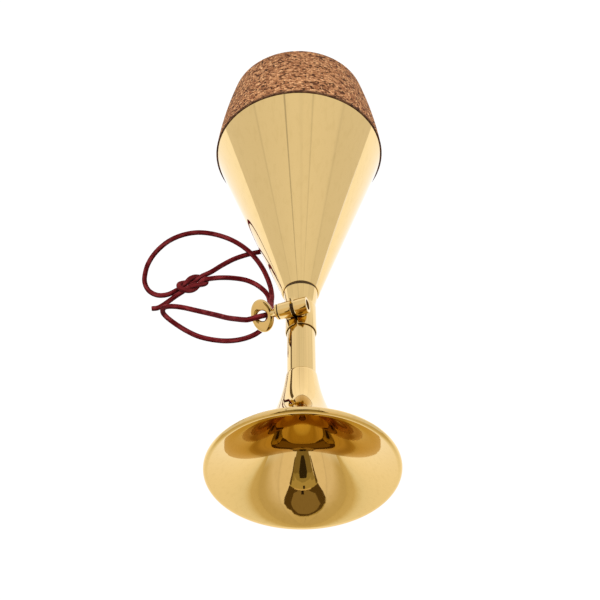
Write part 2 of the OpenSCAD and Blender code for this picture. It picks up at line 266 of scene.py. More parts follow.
class Nodes:
    """A short way to write a material's nodes."""

    def __init__(self, tree):
        self.tree = tree
        tree.nodes.clear()

    def add(self, kind, inputs=None, **settings):
        node = self.tree.nodes.new(kind)
        for key, value in settings.items():
            setattr(node, key, value)
        for key, value in (inputs or {}).items():
            if isinstance(value, bpy.types.NodeSocket):
                self.tree.links.new(value, node.inputs[key])
            else:
                node.inputs[key].default_value = value
        return node

    def math(self, operation, *values):
        return self.add("ShaderNodeMath", dict(enumerate(values)), operation=operation).outputs[0]

    def noise(self, where, scale, detail=3.0, roughness=0.5):
        inputs = {"Vector": where, "Scale": scale, "Detail": detail, "Roughness": roughness}
        return self.add("ShaderNodeTexNoise", inputs).outputs["Fac"]

    def between(self, value, from_low, from_high, low, high, smooth=False):
        inputs = {"Value": value, "From Min": from_low, "From Max": from_high, "To Min": low, "To Max": high}
        kind = "SMOOTHSTEP" if smooth else "LINEAR"
        return self.add("ShaderNodeMapRange", inputs, interpolation_type=kind).outputs[0]

    def mix(self, share, first, second, blend="MIX"):
        node = self.add("ShaderNodeMix", data_type="RGBA", blend_type=blend)
        for key, value in ((0, share), (6, first), (7, second)):
            if isinstance(value, bpy.types.NodeSocket):
                self.tree.links.new(value, node.inputs[key])
            else:
                node.inputs[key].default_value = value
        return node.outputs[2]

    def stretch(self, vector, scale):
        return self.add("ShaderNodeMapping", {"Vector": vector, "Scale": scale}).outputs[0]

    def where(self):
        return self.add("ShaderNodeTexCoord").outputs["Object"]

    def attribute(self, name):
        return self.add("ShaderNodeAttribute", attribute_name=name).outputs["Vector"]

    def bump(self, height, distance, strength=1.0):
        inputs = {"Height": height, "Distance": distance, "Strength": strength}
        return self.add("ShaderNodeBump", inputs).outputs[0]

    def surface(self, inputs):
        shader = self.add("ShaderNodeBsdfPrincipled", inputs)
        out = self.add("ShaderNodeOutputMaterial")
        self.tree.links.new(shader.outputs[0], out.inputs[0])


def new_material(name):
    material = bpy.data.materials.new(name)
    material.use_nodes = True
    return material, Nodes(material.node_tree)


def brass_material(name, polish_and_shade_reach):
    """Polished brass: a mirror with faint smears and polishing marks. Its corners are darkened as old polish and
    painted shade, its mirrored views get painted shade, and deep bounces get a painted glow.
    """
    material, n = new_material(name)
    where = n.where()
    smears = n.noise(where, 60.0, 4.0)
    marks = n.noise(n.stretch(where, (900.0, 60.0, 900.0)), 1.0, 2.0)
    tone = n.noise(where, 18.0, 3.0)
    color = n.mix(tone, (0.85, 0.595, 0.245, 1), (0.895, 0.64, 0.28, 1))
    # Painted reflection: darker lengthwise streaks in the colour, standing for fine seams reflected along the mute
    seam_reflection_streaks = n.noise(n.stretch(where, (650.0, 9.0, 650.0)), 1.0, 2.0)
    color = n.mix(n.between(seam_reflection_streaks, 0.5, 0.75, 0.0, 0.35), color, (0.76, 0.53, 0.21, 1))
    # Painted shade: the brass is coloured darker where it is seen in a mirror, at one bounce and more
    again = n.add("ShaderNodeLightPath").outputs["Ray Depth"]
    darker_in_mirrors = n.mix(1.0, color, (0.64, 0.57, 0.2, 1), "MULTIPLY")
    color = n.mix(n.between(again, 0.0, 1.0, 0.0, 1.0), color, darker_in_mirrors)
    tint = (1, 1, 1, 1)
    if polish_and_shade_reach:
        # Painted shade, with old polish: darker colour and dimmer reflection where corners and gaps close the surface
        # in
        corner = n.add("ShaderNodeAmbientOcclusion", {"Distance": polish_and_shade_reach}, samples=12)
        clean_and_lit_share = n.between(corner.outputs["AO"], 0.5, 0.82, 0.0, 1.0, True)
        color = n.mix(clean_and_lit_share, (0.03, 0.015, 0.005, 1), color)
        tint = n.mix(clean_and_lit_share, (0.08, 0.055, 0.03, 1), tint)
    rough = n.between(smears, 0.3, 0.75, 0.025, 0.06)
    rough = n.math("ADD", rough, n.between(marks, 0.45, 0.8, 0.0, 0.015))
    n.surface({
        "Base Color": color,
        "Metallic": 1.0,
        "Roughness": rough,
        "Specular Tint": tint,
        "Normal": n.bump(marks, 0.000002),
        # Painted light: a faint warm glow on the third and later mirror bounces, in place of light the bounce limit
        # drops
        "Emission Color": (0.30, 0.15, 0.02, 1),
        "Emission Strength": n.between(again, 2.5, 3.5, 0.0, 0.5),
    })
    return material


def thread_material():
    """The screw's thread, dull and dark with old grease. The same dark serves as painted shade in the seam at the
    cone's mouth.
    """
    material, n = new_material("dark_thread_and_shade")
    grime_and_shade = n.noise(n.where(), 1500.0, 3.0)
    color = n.mix(grime_and_shade, (0.03, 0.017, 0.007, 1), (0.10, 0.06, 0.025, 1))
    n.surface({"Base Color": color, "Metallic": 0.5, "Roughness": 0.5, "Specular IOR Level": 0.15})
    return material


def cork_material():
    """Pressed cork: granules of a millimetre or so in browns, with dark bark flecks between them."""
    material, n = new_material("cork")
    where = n.where()
    grain_size = 980.0
    bend = n.add("ShaderNodeTexNoise", {"Vector": where, "Scale": 900.0, "Detail": 2.0}).outputs["Color"]
    moved = n.add("ShaderNodeVectorMath", {0: bend, "Scale": 0.0009}, operation="SCALE").outputs[0]
    place = n.add("ShaderNodeVectorMath", {0: where, 1: moved}, operation="ADD").outputs[0]
    place = n.stretch(place, (1.0, 1.25, 1.25))
    cells = n.add("ShaderNodeTexVoronoi", {"Vector": place, "Scale": grain_size, "Randomness": 1.0})
    pick = n.add("ShaderNodeSeparateColor", {"Color": cells.outputs["Color"]})
    edges = n.add("ShaderNodeTexVoronoi", {"Vector": place, "Scale": grain_size}, feature="DISTANCE_TO_EDGE")
    gap = n.between(edges.outputs["Distance"], 0.0, 0.09, 1.0, 0.0)
    ramp = n.add("ShaderNodeValToRGB", {"Fac": pick.outputs[0]})
    stops = ramp.color_ramp.elements
    stops[0].position, stops[0].color = 0.0, (0.030, 0.010, 0.004, 1)
    stops[1].position, stops[1].color = 1.0, (0.80, 0.44, 0.21, 1)
    for position, color in (
        (0.12, (0.07, 0.022, 0.008, 1)),
        (0.24, (0.27, 0.10, 0.040, 1)),
        (0.5, (0.42, 0.18, 0.075, 1)),
        (0.8, (0.60, 0.29, 0.125, 1)),
    ):
        stops.new(position).color = color
    grain = n.noise(where, 2600.0, 3.0, 0.65)
    color = n.mix(n.between(grain, 0.42, 0.8, 0.0, 0.5), ramp.outputs[0], (0.20, 0.08, 0.035, 1))
    color = n.mix(n.math("MULTIPLY", gap, 0.6), color, (0.09, 0.032, 0.013, 1))
    # Darker towards the cork's front edge by the cone: painted shadow there, with grime
    along = n.add("ShaderNodeSeparateXYZ", {0: where}).outputs[1]
    grime_and_shade = n.between(along, CORK_FROM + 0.3 * MM, CORK_FROM + 1.7 * MM, 0.85, 0.0, True)
    color = n.mix(grime_and_shade, color, (0.045, 0.018, 0.008, 1))
    height = n.math("SUBTRACT", n.math("MULTIPLY", grain, 0.5), gap)
    height = n.math("ADD", height, n.math("MULTIPLY", pick.outputs[1], 0.8))
    n.surface({
        "Base Color": color,
        "Roughness": 0.85,
        "Specular IOR Level": 0.2,
        "Normal": n.bump(height, 0.00016),
    })
    return material


def cord_material(name, paler_share):
    """Red cord: lengthwise fibres and paler patches of wear, with an extra share of paleness that can be added as
    painted light. Painted shade darkens its sides, its underside and the gaps between strands.
    """
    material, n = new_material(name)
    strand = n.attribute("strand")
    fibres = n.noise(n.stretch(strand, (2.6, 2.6, 120.0)), 1.0, 3.0, 0.6)
    patches = n.noise(n.stretch(strand, (0.7, 0.7, 220.0)), 1.0, 2.0)
    color = n.mix(n.between(fibres, 0.35, 0.7, 0.0, 1.0), (0.032, 0.0015, 0.002, 1), (0.15, 0.013, 0.015, 1))
    color = n.mix(n.between(patches, 0.45, 0.75, paler_share, 0.55), color, (0.28, 0.045, 0.048, 1))
    # Painted shade: darker where the surface faces sideways or down, as light from above would leave it
    facing = n.add("ShaderNodeNewGeometry").outputs["Normal"]
    upward = n.add("ShaderNodeSeparateXYZ", {0: facing}).outputs[2]
    color = n.mix(n.between(upward, 0.15, 0.75, 0.6, 0.0, True), color, (0.03, 0.002, 0.003, 1))
    # Painted shade in the gaps between strands, where the surface is closed in
    corner = n.add("ShaderNodeAmbientOcclusion", {"Distance": CORD_D}, samples=8)
    color = n.mix(n.between(corner.outputs["AO"], 0.35, 0.7, 0.75, 0.0, True), color, (0.012, 0.001, 0.001, 1))
    n.surface({
        "Base Color": color,
        "Roughness": 0.7,
        "Specular IOR Level": 0.0,
        "Sheen Weight": 0.15,
        "Sheen Roughness": 0.4,
        "Sheen Tint": (1.0, 0.3, 0.32, 1),
        "Normal": n.bump(fibres, 0.00008),
    })
    return material


def cord_core_material():
    """The cut end of the cord: paler fibres in a dark cover."""
    material, n = new_material("cord_core")
    fibres = n.noise(n.where(), 5200.0, 3.0)
    color = n.mix(fibres, (0.10, 0.012, 0.015, 1), (0.42, 0.13, 0.12, 1))
    n.surface({"Base Color": color, "Roughness": 0.8, "Normal": n.bump(fibres, 0.0001)})
    return material


BRASS = brass_material("polished_brass", 0)
# Brass whose corners and gaps are darkened, as old polish and painted shade
FITTED_BRASS = brass_material("fitted_brass", 1.3 * MM)
THREAD_AND_SHADE = thread_material()
CORK = cork_material()
CORD = cord_material("red_cord", 0.0)
# The knot's cord: its pale wear patches spread further, as painted light on the raised knot
WORN_AND_LIT_CORD = cord_material("worn_and_lit_cord", 0.12)
CORD_CORE = cord_core_material()


def dress(piece, material, slot, body, *nodes):
    """Gives a piece its material, puts it on a body, and lets it stand for CAD nodes; slot is not used."""
    piece.data.materials.clear()
    piece.data.materials.append(material)
    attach(piece, body)
    if nodes:
        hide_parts(*nodes)
    return piece


# The cord

def spline(points, step):
    """A smooth line through the points, in metres, sampled about every step."""
    p = np.array(points, float) * MM
    p = np.vstack([2 * p[0] - p[1], p, 2 * p[-1] - p[-2]])
    line = []
    for a, b, c, d in zip(p, p[1:], p[2:], p[3:]):
        ab, bc, cd = (max(np.linalg.norm(v) ** 0.5, 1e-9) for v in (b - a, c - b, d - c))
        out = (c - b) + bc * ((b - a) / ab - (c - a) / (ab + bc))
        into = (c - b) + bc * ((d - c) / cd - (d - b) / (bc + cd))
        for t in np.linspace(0, 1, max(2, round(bc * bc / step)), endpoint=False):
            line.append(
                (2 * t**3 - 3 * t**2 + 1) * b + (t**3 - 2 * t**2 + t) * out
                + (3 * t**2 - 2 * t**3) * c + (t**3 - t**2) * into
            )
    line.append(p[-2])
    return np.array(line)


def frames(line):
    """A side vector and an up vector at each point, carried along without twist."""
    ahead = np.gradient(line, axis=0)
    ahead /= np.linalg.norm(ahead, axis=1)[:, None]
    side = np.cross(ahead[0], (0, 0, 1.0))
    sides, ups = [], []
    for t in ahead:
        side = side - t * (side @ t)
        side /= np.linalg.norm(side)
        sides.append(side)
        ups.append(np.cross(side, t))
    return ahead, sides, ups


def tube_mesh(line, radius, around, cut_start, cut_end, ripple=0.0):
    """Points, faces, cap faces and strand coordinates of a tube; a cut end is slightly rounded."""
    ahead, sides, ups = frames(line)
    along = np.concatenate([[0], np.cumsum(np.linalg.norm(np.diff(line, axis=0), axis=1))])
    rings = [(i, 0.0, 1.0) for i in range(len(line))]
    edge = 0.18
    if cut_start:
        rings = [(0, -edge * radius, 1 - 1.1 * edge), (0, -edge * radius / 2, 1 - edge / 3), *rings[1:]]
    if cut_end:
        last = len(line) - 1
        rings = [*rings[:-1], (last, edge * radius / 2, 1 - edge / 3), (last, edge * radius, 1 - 1.1 * edge)]
    points, strand = [], []
    for i, push, share in rings:
        middle = line[i] + ahead[i] * push
        for k in range(around):
            a = 2 * math.pi * k / around
            out = math.cos(a) * sides[i] + math.sin(a) * ups[i]
            ridge = 1 + ripple * math.cos(9 * a + 260 * along[i])
            points.append(middle + out * radius * share * ridge)
            strand.append((math.cos(a), math.sin(a), along[i]))
    faces = ring_faces(len(rings), around, closed=False)
    first = len(points)
    for i, push in ((0, rings[0][1]), (len(line) - 1, rings[-1][1])):
        points.append(line[i] + ahead[i] * push)
        strand.append((0, 0, along[i]))
    caps = [(first, (k + 1) % around, k) for k in range(around)]
    last_ring = (len(rings) - 1) * around
    caps += [(first + 1, last_ring + k, last_ring + (k + 1) % around) for k in range(around)]
    return points, faces, caps, strand


def add_tubes(name, lines, cover, cut_start=False, cut_end=False, around=28, ripple=0.012):
    """One object of one or more tubes, with the strand attribute that its material reads."""
    points, faces, caps, strand = [], [], [], []
    for line in lines:
        p, f, c, s = tube_mesh(line, CORD_D / 2, around, cut_start, cut_end, ripple)
        base = len(points)
        faces += [tuple(base + i for i in face) for face in f]
        caps += [tuple(base + i for i in face) for face in c]
        points += p
        strand += s
    piece = add_mesh(name, points, faces + caps, 60)
    attribute = piece.data.attributes.new("strand", "FLOAT_VECTOR", "POINT")
    attribute.data.foreach_set("vector", np.array(strand, np.float32).ravel())
    piece.data.materials.append(cover)
    piece.data.materials.append(CORD_CORE)
    if cut_start or cut_end:
        for polygon in piece.data.polygons[len(faces):]:
            polygon.material_index = 1
    return piece


def knot_lines():
    """The two ropes of a reef knot: each bight goes under one pair of legs and over the other."""
    low, high = 1.1, 3.35
    half = [
        (-6.0, 1.15, low), (-4.4, 1.1, low + 0.35), (-2.3, 1.45, high - 0.75),
        (-0.2, 2.1, high), (2.1, 2.6, high - 0.45), (4.3, 2.3, low + 0.9),
        (5.7, 1.3, low + 0.1), (6.15, 0, low),
    ]
    rope = half + [(x, -y, z) for x, y, z in half[-2::-1]]
    other = [(-x, -y, low + high - z) for x, y, z in rope]
    c, s = math.cos(KNOT_TURN), math.sin(KNOT_TURN)
    return [
        spline([(KNOT_MID[0] + c * x - s * y, KNOT_MID[1] + s * x + c * y, z) for x, y, z in r], 0.35 * MM)
        for r in (rope, other)
    ]


def make_cord():
    """The cord through the screw's eye: two strands, the knot that joins them, and its tails."""
    step = 0.55 * MM
    knot = add_tubes("cord_knot_tied", knot_lines(), WORN_AND_LIT_CORD)
    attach(knot, "body")
    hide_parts("cord_knot")
    tails = {}
    for side, route in (("left", TAIL_LEFT_ROUTE), ("right", TAIL_RIGHT_ROUTE)):
        tail = add_tubes(f"cord_end_{side}", [spline(route, step)], CORD, cut_end=True)
        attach(tail, "body")
        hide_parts(f"cord_tail_{side}")
        tails[side] = tail
    for name, route, pieces in (
        ("back", BACK_ROUTE, [knot, tails["left"]]),
        ("front", FRONT_ROUTE, [tails["right"]]),
    ):
        line = spline(route, step)
        strand = add_tubes(f"cord_strand_{name}", [line], CORD)
        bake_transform(strand)
        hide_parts(f"cord_{name}")


# The bell and the tube

def flare_r(u):
    """The bell's outer radius at a distance from its bead."""
    length = COLLAR_END - RIM_AT
    end = math.exp(-length / FLARE_FALL)
    return COLLAR_R + (RIM_R - COLLAR_R) * (math.exp(-u / FLARE_FALL) - end) / (1 - end)


def keep_facing(piece, facing, around):
    """Sets the shading normals (radial, axial) of some rings of a turned piece; None leaves a ring alone."""
    turn = ON_AXIS.to_3x3()
    normals = []
    for ring in facing:
        for k in range(around):
            a = 2 * math.pi * k / around
            out, up = ring or (0, 0)
            normals.append(turn @ Vector((out * math.cos(a), out * math.sin(a), up)))
    piece.data.normals_split_custom_set_from_vertices(normals)


def make_bell():
    """The flare in thin sheet, rolled into a bead at its rim, with its collar on the tube."""
    length = COLLAR_END - RIM_AT
    steps = 110
    little = 0.01 * MM
    outside = []
    for t in np.linspace(0, 1, steps):
        u = 1.0 * MM + (length - 1.4 * MM) * t**1.3
        outside.append((flare_r(u), RIM_AT + u))
    collar_edge = [(COLLAR_R - 0.1 * MM, COLLAR_END - 0.1 * MM), (TUBE_R + 0.05 * MM, COLLAR_END)]
    inside, facing = [], []
    inside_len = TUBE_FROM - 2 * MM - RIM_AT
    for t in np.linspace(1, 0, steps):
        u = inside_len * t**1.3
        slope = (flare_r(u + little) - flare_r(u)) / little
        near_rim = max(0, 1 - u / (4 * MM))
        thick = BELL_SHEET + (BEAD_R - BELL_SHEET) * near_rim * near_rim * (3 - 2 * near_rim)
        inside.append((flare_r(u) - thick * math.hypot(1, slope), RIM_AT + u))
        facing.append((-1 / math.hypot(1, slope), slope / math.hypot(1, slope)) if near_rim else None)
    inner = [(TUBE_R, COLLAR_END - 0.2 * MM), (TUBE_R, TUBE_FROM)]
    bead = []
    for a in np.linspace(math.radians(-119), math.radians(78), 28):
        bead.append((RIM_R + BEAD_R * math.cos(a), RIM_AT + BEAD_R * math.sin(a)))
    profile = outside + collar_edge + inner + inside + bead
    around = 320
    bell = lathe("bell", profile, ON_AXIS, around)
    facing = [None] * (len(profile) - len(inside) - len(bead)) + facing + [None] * len(bead)
    keep_facing(bell, facing, around)
    dress(bell, BRASS, "brass", "bell", "bell_flare")
    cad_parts["rim_wire"].data.materials.clear()
    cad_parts["rim_wire"].data.materials.append(BRASS)


def tube_profile(bore, outer, start, end, edge):
    return rounded([
        (outer, start, edge), (outer, end, edge), (bore, end, edge), (bore, start, edge),
    ])


def make_tube():
    profile = tube_profile(TUBE_BORE_R, TUBE_R, TUBE_FROM, TUBE_TO, 0.12 * MM)
    dress(lathe("slide_tube", profile, ON_AXIS, 160), FITTED_BRASS, "brass", "bell", "tuning_tube")


# The clamp and the thumb screw

def make_sleeve():
    """The slotted sleeve, which opens out to plug into the cone."""
    plug_r = MOUTH_R - 1.06 * SHEET
    rise = (CONE_R - MOUTH_R) / (CORK_FROM - MOUTH_AT) * PLUG_LEN
    straight_to = SLEEVE_FROM + SLEEVE_STRAIGHT
    profile = rounded([
        (SLEEVE_R, SLEEVE_FROM, 0.15 * MM),
        (SLEEVE_R, straight_to, 0.15 * MM),
        (WAIST_R, straight_to + 0.25 * MM, 0.15 * MM),
        (WAIST_R, straight_to + 1.6 * MM, 1.2 * MM),
        (plug_r, MOUTH_AT, 0.5 * MM),
        (plug_r + rise, PLUG_TO, 0),
        (plug_r + rise - SHEET, PLUG_TO, 0),
        (plug_r - SHEET, MOUTH_AT, 0),
        (SLEEVE_BORE_R, MOUTH_AT - 3 * MM, 0),
        (SLEEVE_BORE_R, SLEEVE_FROM, 0.15 * MM),
    ])
    sleeve = lathe("sleeve", profile, ON_AXIS, 192)
    outline = [(-SLOT_W / 2, -MM), (SLOT_W / 2, -MM)]
    for a in np.linspace(0, math.pi, 13):
        outline.append((SLOT_W / 2 * math.cos(a), SLOT_LEN + SLOT_W / 2 * math.sin(a)))
    turn = Matrix.Translation((0, SLEEVE_FROM, AXIS_Z)) @ Matrix.Rotation(-LEAN, 4, "Y")
    points = [turn @ Vector((x, y, z)) for z in (MM, 14 * MM) for x, y in outline]
    count = len(outline)
    faces = ring_faces(2, count, closed=False) + [range(count), range(2 * count - 1, count - 1, -1)]
    cut_away(sleeve, add_mesh("slot_cutter", points, faces))
    dress(sleeve, FITTED_BRASS, "brass", "body", "clamp_sleeve")


def lug_barrel(name, low, high):
    profile = rounded([
        (BARREL_R, low, 0.4 * MM), (BARREL_R, high, 0.4 * MM),
        (LUG_BORE_R, high, 0.15 * MM), (LUG_BORE_R, low, 0.15 * MM),
    ])
    return lathe(name, profile, ON_SCREW, 96)


def lug_foot(low, high):
    """The brazed foot between the barrel and the sleeve, with hollowed sides."""
    points = []
    top, bottom = -2.45 * MM, SLEEVE_R * 0.9 - BARREL_OUT
    levels = 9
    for i in range(levels):
        t = i / (levels - 1)
        waist = 1 - 0.16 * math.sin(math.pi * t)
        half = 2.2 * MM * waist
        for s, z in ((-1, low), (1, low), (1, high), (-1, high)):
            points.append(ON_SCREW @ Vector((top + (bottom - top) * t, s * half, z)))
    faces = ring_faces(levels, 4, closed=False)
    faces += [(0, 1, 2, 3), tuple(4 * (levels - 1) + k for k in (3, 2, 1, 0))]
    return points, faces


def make_lugs():
    for side, sign, node in (("left", 1, "clamp_lug_left"), ("right", -1, "clamp_lug_right")):
        near, far = sorted((sign * SLOT_W / 2, sign * BARREL_LEN / 2))
        barrel = lug_barrel(f"lug_{side}", near, far)
        foot_near, foot_far = sorted((sign * SLOT_W / 2, sign * 3.6 * MM))
        foot = add_mesh(f"lug_foot_{side}", *lug_foot(foot_near, foot_far))
        bevel = foot.modifiers.new("edges", "BEVEL")
        bevel.width, bevel.segments = 0.35 * MM, 3
        dress(barrel, BRASS, "brass", "body", node)
        dress(foot, BRASS, "brass", "body")


def head_plate():
    """The oval plate with rounded edges and an eye, as rings from the eye out and back."""
    edge = 0.62 * MM
    half_t = HEAD_T / 2
    around = 128
    dome = 0.12 * MM
    face = [(share, edge * (1 - 2 * share), half_t + dome * math.sin(math.pi * share)) for share in (0.8, 0.6, 0.4, 0.2)]
    section = []
    for a in np.linspace(-90, 90, 11):
        a = math.radians(a)
        section.append((1, -edge + edge * math.cos(a), (half_t - edge) * np.sign(a) + edge * math.sin(a)))
    section += face
    for a in np.linspace(90, 270, 11):
        a = math.radians(a)
        side = 1 if a < math.pi else -1
        section.append((0, edge + edge * math.cos(a), (half_t - edge) * side + edge * math.sin(a)))
    section += [(share, reach, -height) for share, reach, height in face[::-1]]
    frame_turn = (
        Matrix.Translation((0, 0, HEAD_OUT))
        @ Matrix.Rotation(math.radians(45), 4, "Z")
        @ Matrix.Rotation(math.radians(90), 4, "X")
    )
    points = []
    for share, reach, height in section:
        for k in range(around):
            a = 2 * math.pi * k / around
            wide = share * HEAD_W / 2 + (1 - share) * EYE_R + reach
            long = share * HEAD_LEN / 2 + (1 - share) * EYE_R + reach
            points.append(ON_SCREW @ frame_turn @ Vector((wide * math.cos(a), long * math.sin(a), height)))
    return points, ring_faces(len(section), around)


def make_screw():
    """The dark threaded shank, and the bright flange, neck and oval head."""
    flange_from = BARREL_LEN / 2 + FLANGE_GAP
    neck_from = flange_from + FLANGE_T
    neck_to = HEAD_OUT - HEAD_LEN / 2 + MM
    shank_from = SHANK_BACK - BARREL_LEN / 2
    pitch = 0.4 * MM
    depth = 0.16 * MM
    axis_r = 0.02 * MM
    thread = []
    at = shank_from + 0.3 * MM
    while at + pitch < flange_from - 0.2 * MM:
        thread += [(SHANK_R - depth, at), (SHANK_R, at + pitch / 2)]
        at += pitch
    shank = [(axis_r, shank_from), (SHANK_R - 0.3 * MM, shank_from)] + thread
    shank += [(SHANK_R, at), (SHANK_R, flange_from + 0.1 * MM), (axis_r, flange_from + 0.1 * MM)]
    shank = lathe("screw_shank", shank, ON_SCREW, 96)
    dress(shank, THREAD_AND_SHADE, "brass", "screw", "thumb_screw")
    waist = neck_from + 0.5 * (neck_to - neck_from)
    flange = rounded([
        (axis_r, flange_from, 0),
        (FLANGE_R, flange_from, 0.2 * MM),
        (FLANGE_R, neck_from, 0.3 * MM),
        (1.75 * NECK_R, neck_from, 0.3 * MM),
        (1.15 * NECK_R, waist, 0.7 * MM),
        (NECK_R, neck_to, 0),
        (axis_r, neck_to, 0),
    ])
    dress(lathe("screw_flange", flange, ON_SCREW, 96), FITTED_BRASS, "brass", "screw")
    dress(add_mesh("screw_head", *head_plate()), BRASS, "brass", "screw")


# The body and the cork

def cone_r_at(y):
    return MOUTH_R + (CONE_R - MOUTH_R) * (y - MOUTH_AT) / (CORK_FROM - MOUTH_AT)


def make_cone():
    """The spun cone: a plain edge at its mouth and a rolled-over lap at its widest ring."""
    inside = 1.06 * SHEET
    lap_r = CONE_R - 0.55 * MM
    skin = [(cone_r_at(y), y, 0) for y in np.linspace(MOUTH_AT + MM, CORK_FROM - 1.5 * MM, 60)]
    profile = rounded([
        (MOUTH_R, MOUTH_AT, 0.12 * MM),
        *skin,
        (CONE_R, CORK_FROM, 0.5 * MM),
        (CONE_R - 0.1 * MM, CONE_END, 0.3 * MM),
        (lap_r, CONE_END, 0),
        (lap_r, CONE_END - LAP_LEN, 0),
        (cone_r_at(CONE_END - 3 * MM) - inside, CONE_END - 3 * MM, 0),
        (MOUTH_R - inside, MOUTH_AT, 0.12 * MM),
    ])
    dress(lathe("cone", profile, ON_AXIS, 384), BRASS, "brass", "body", "front_cone")


def make_seam_shade():
    """A thin dark crescent in the seam at the top of the cone's mouth: painted shade, a dark sheet where the seam lies
    in shadow.
    """
    # Lifted so that the painted shade is thickest at the top of the seam
    lift = 0.7 * MM
    outer = MOUTH_R - lift
    deep = 0.6 * MM
    profile = [
        (outer - deep, MOUTH_AT - 1.3 * deep), (outer, MOUTH_AT - 0.04 * MM),
        (outer, MOUTH_AT + 0.02 * MM), (outer - deep, MOUTH_AT + 0.02 * MM),
    ]
    place = Matrix.Translation((0, 0, lift)) @ ON_AXIS
    dress(lathe("seam_shade", profile, place, 128), THREAD_AND_SHADE, "brass", "body")


def make_rear():
    """The tapered seat with its end plate, and the port through the plate."""
    lap_r = CONE_R - 0.55 * MM
    seat_end_r = CORK_END_R - CORK_THICK
    plate_at = CORK_TO - PLATE_INSET
    port_out = PORT_R + SHEET
    profile = rounded([
        (lap_r, CONE_END - LAP_LEN, 0),
        (lap_r, CONE_END, 0),
        (SEAT_R, CONE_END + 0.2 * MM, 0),
        (seat_end_r, plate_at, 1.2 * MM),
        (port_out, plate_at, 0),
        (port_out, plate_at - SHEET, 0),
        (seat_end_r - SHEET, plate_at - SHEET, 0.9 * MM),
        (SEAT_R - SHEET, CONE_END, 0),
        (lap_r - SHEET, CONE_END - LAP_LEN, 0),
    ])
    dress(lathe("rear_body", profile, ON_AXIS, 256), BRASS, "brass", "body", "rear_shell")
    lip = 0.6 * MM
    port = rounded([
        (port_out, plate_at - PORT_LEN, 0.12 * MM),
        (port_out, plate_at, 0),
        (PORT_R + PORT_LIP, plate_at, 0.1 * MM),
        (PORT_R + PORT_LIP, plate_at + lip, 0.3 * MM),
        (PORT_R, plate_at + lip, 0.3 * MM),
        (PORT_R, plate_at - PORT_LEN, 0.12 * MM),
    ])
    dress(lathe("port", port, ON_AXIS, 128), BRASS, "brass", "body", "end_port")


def cork_r_at(f):
    return REST_R + (CORK_END_R - REST_R) * f + 4 * CORK_SWELL * f * (1 - f)


def make_cork():
    """The cork sleeve: a swelled taper with a soft edge, its faces pitted between the granules."""
    length = CORK_TO - CORK_FROM
    seat_end_r = CORK_END_R - CORK_THICK
    steps = 84
    side = [
        (cork_r_at(f), CORK_FROM + length * f) for f in np.linspace(0.004, 1 - 1.0 * MM / length, steps)
    ]
    rim = rounded([
        (*side[-1], 0),
        (CORK_END_R, CORK_TO, 0.7 * MM),
        (seat_end_r + 0.3 * MM, CORK_TO, 0.2 * MM),
        (seat_end_r, CORK_TO - PLATE_INSET - MM, 0),
        (SEAT_R, CONE_END + 0.2 * MM, 0),
        (CONE_R + 0.02 * MM, CONE_END + 0.2 * MM, 0),
        (CONE_R + 0.02 * MM, CORK_FROM, 0),
        (REST_R - 0.2 * MM, CORK_FROM, 0),
    ])
    cork = lathe("cork", side + rim[1:], ON_AXIS, 560)
    dress(cork, CORK, "cork", "body", "cork_sleeve")


# Surroundings

TENT_MID = Vector((0, RIM_AT, AXIS_Z))
TENT_R = 2.5


def ramp(n, value, stops):
    node = n.add("ShaderNodeValToRGB", {"Fac": value})
    elements = node.color_ramp.elements
    elements[0].position, elements[0].color = stops[0][0], (*stops[0][1], 1)
    elements[1].position, elements[1].color = stops[-1][0], (*stops[-1][1], 1)
    for position, color in stops[1:-1]:
        elements.new(position).color = (*color, 1)
    return node.outputs[0]


def for_soft_light(n, color, plain):
    """Keeps the colour that mirrors and the camera see, and lights the cord and the cork with a plain one."""
    soft = n.add("ShaderNodeLightPath").outputs["Is Diffuse Ray"]
    return n.mix(soft, color, plain)


def make_floor():
    """A pale floor that glows: white to the eye, and cooler beside the mute than before it in mirrors."""
    half = 3.0
    floor = add_mesh("floor", [(-half, -half, 0), (half, -half, 0), (half, half, 0), (-half, half, 0)], [(0, 1, 2, 3)])
    material, n = new_material("floor")
    where = n.where()
    across, along, up = n.add("ShaderNodeSeparateXYZ", {0: where}).outputs
    away = n.math("SUBTRACT", -0.1, along)
    before = ramp(n, n.math("MULTIPLY", away, 4.0), [
        (0.0, (1.0, 1.0, 1.0)), (0.08, (0.91, 0.88, 0.79)), (0.18, (0.79, 0.77, 0.66)),
        (0.27, (0.66, 0.59, 0.38)), (0.36, (0.58, 0.48, 0.24)), (1.0, (0.55, 0.45, 0.21)),
    ])
    left_end = n.between(across, -0.235, -0.225, 0.0, 1.0, True)
    right_end = n.between(across, 0.25, 0.27, 1.0, 0.0, True)
    slant = n.math("DIVIDE", along, n.math("MAXIMUM", n.math("ABSOLUTE", across), 0.05))
    far = n.mix(n.between(slant, 0.75, 0.95, 0.0, 1.0, True), (0.74, 0.74, 0.74, 1), (1.08, 1.08, 1.1, 1))
    beside = n.mix(n.math("MULTIPLY", left_end, right_end), far, (1.08, 1.12, 1.22, 1))
    mirrored = n.mix(n.between(away, -0.06, 0.0, 0.0, 1.0, True), beside, before)
    seen = n.add("ShaderNodeLightPath").outputs["Is Camera Ray"]
    color = for_soft_light(n, n.mix(seen, mirrored, (1, 1, 1, 1)), (0.15, 0.145, 0.14, 1))
    diffuse = n.add("ShaderNodeBsdfDiffuse", {"Color": (0.04, 0.04, 0.04, 1)})
    glow = n.add("ShaderNodeEmission", {"Color": color, "Strength": 1.0})
    both = n.add("ShaderNodeAddShader", {0: diffuse.outputs[0], 1: glow.outputs[0]})
    n.add("ShaderNodeOutputMaterial", {0: both.outputs[0]})
    floor.data.materials.append(material)


